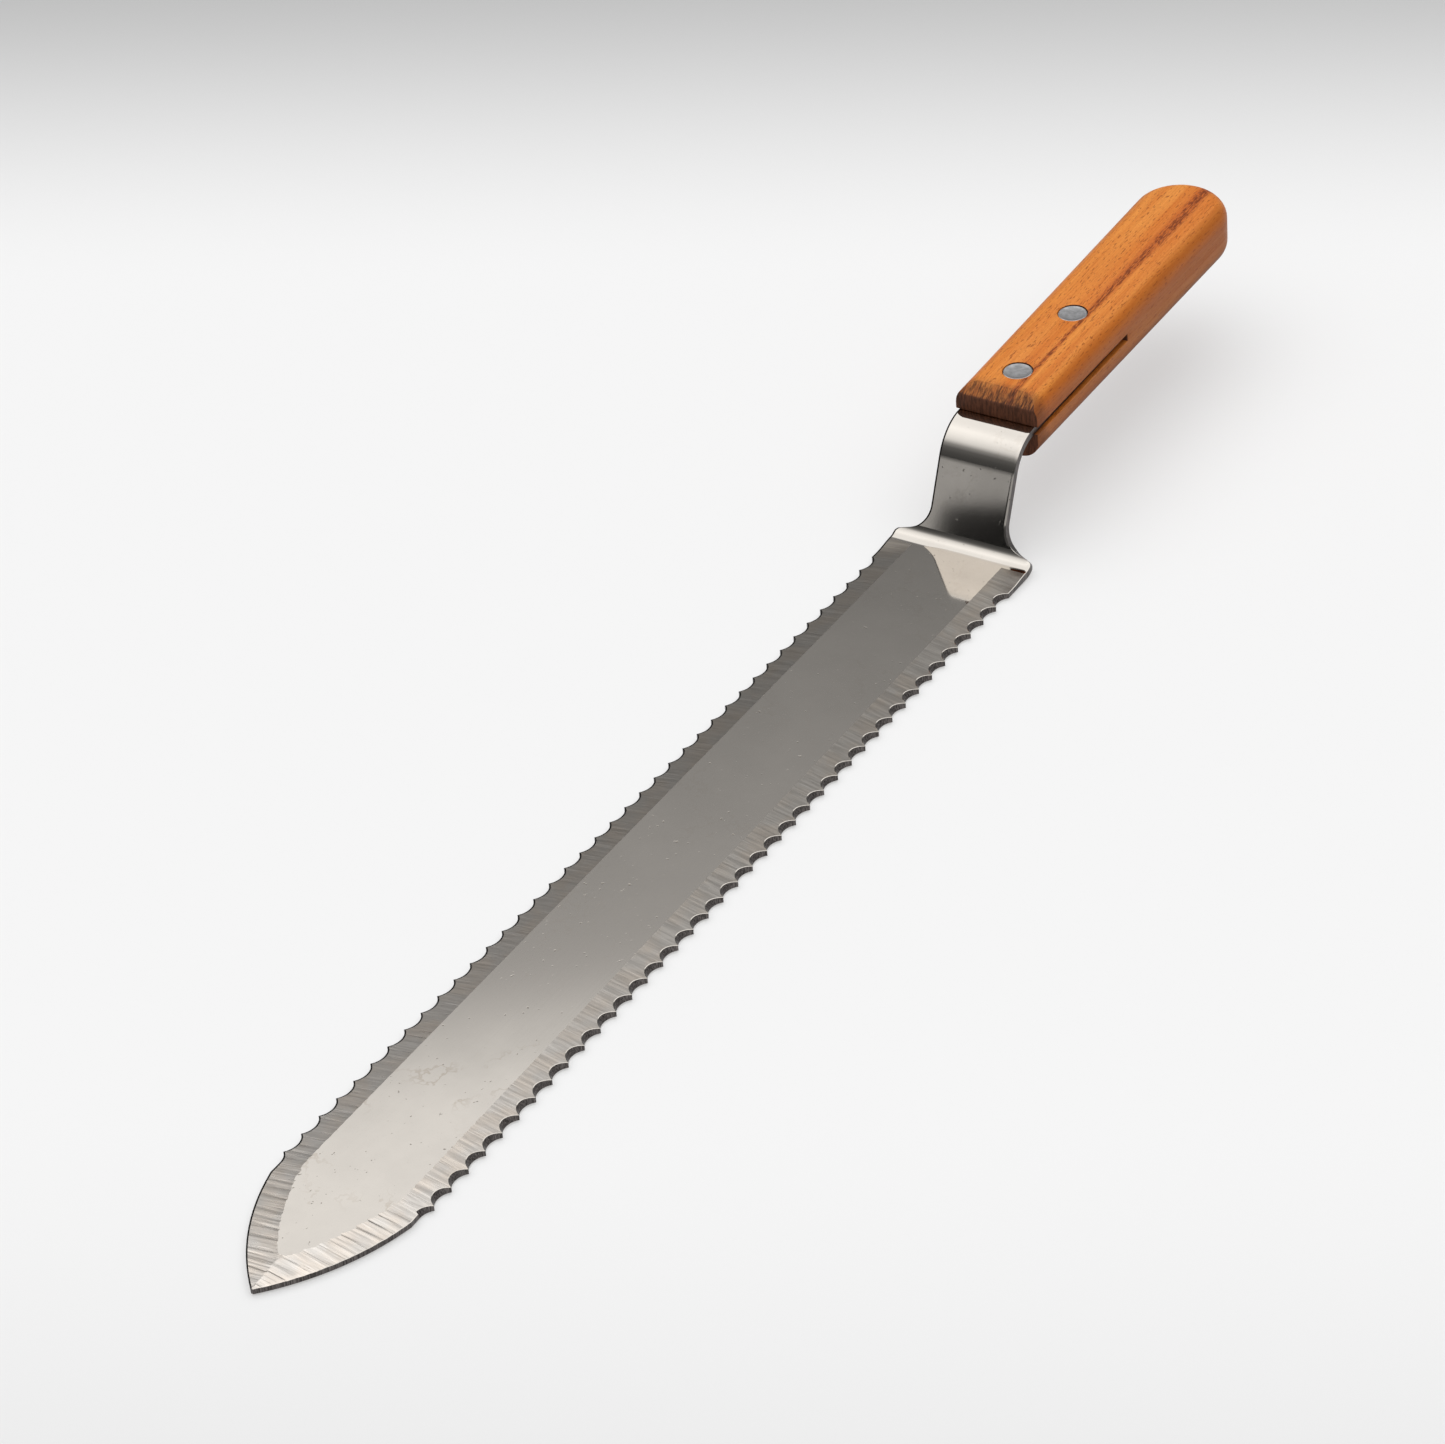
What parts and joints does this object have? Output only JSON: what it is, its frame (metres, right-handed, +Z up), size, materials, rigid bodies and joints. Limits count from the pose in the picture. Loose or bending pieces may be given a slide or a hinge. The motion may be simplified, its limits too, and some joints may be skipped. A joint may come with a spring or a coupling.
{
  "type": "offset serrated knife",
  "caption": "Long two-edged knife with scalloped edges, a cranked neck and a riveted wooden handle, lying on its flat blade.",
  "frame": {"origin": "middle of the overall length and width, on the surface that the blade lies on", "axes": "+X towards the blade's point, +Y to one side of the knife, +Z up from the blade's flat underside"},
  "size_m": [0.4048, 0.0356, 0.0364],
  "materials": {
    "stainless_steel": "satin sheet with coarse grinding marks along the edges",
    "beech": "oiled beech, orange brown",
    "rivet_aluminium": "dull, ground flush"
  },
  "bodies": {
    "root": {"blade": "stainless_steel", "handle": "beech", "front_rivet_pin": "rivet_aluminium", "front_rivet_tube": "rivet_aluminium", "rear_rivet_pin": "rivet_aluminium", "rear_rivet_tube": "rivet_aluminium"}
  },
  "joints": []
}
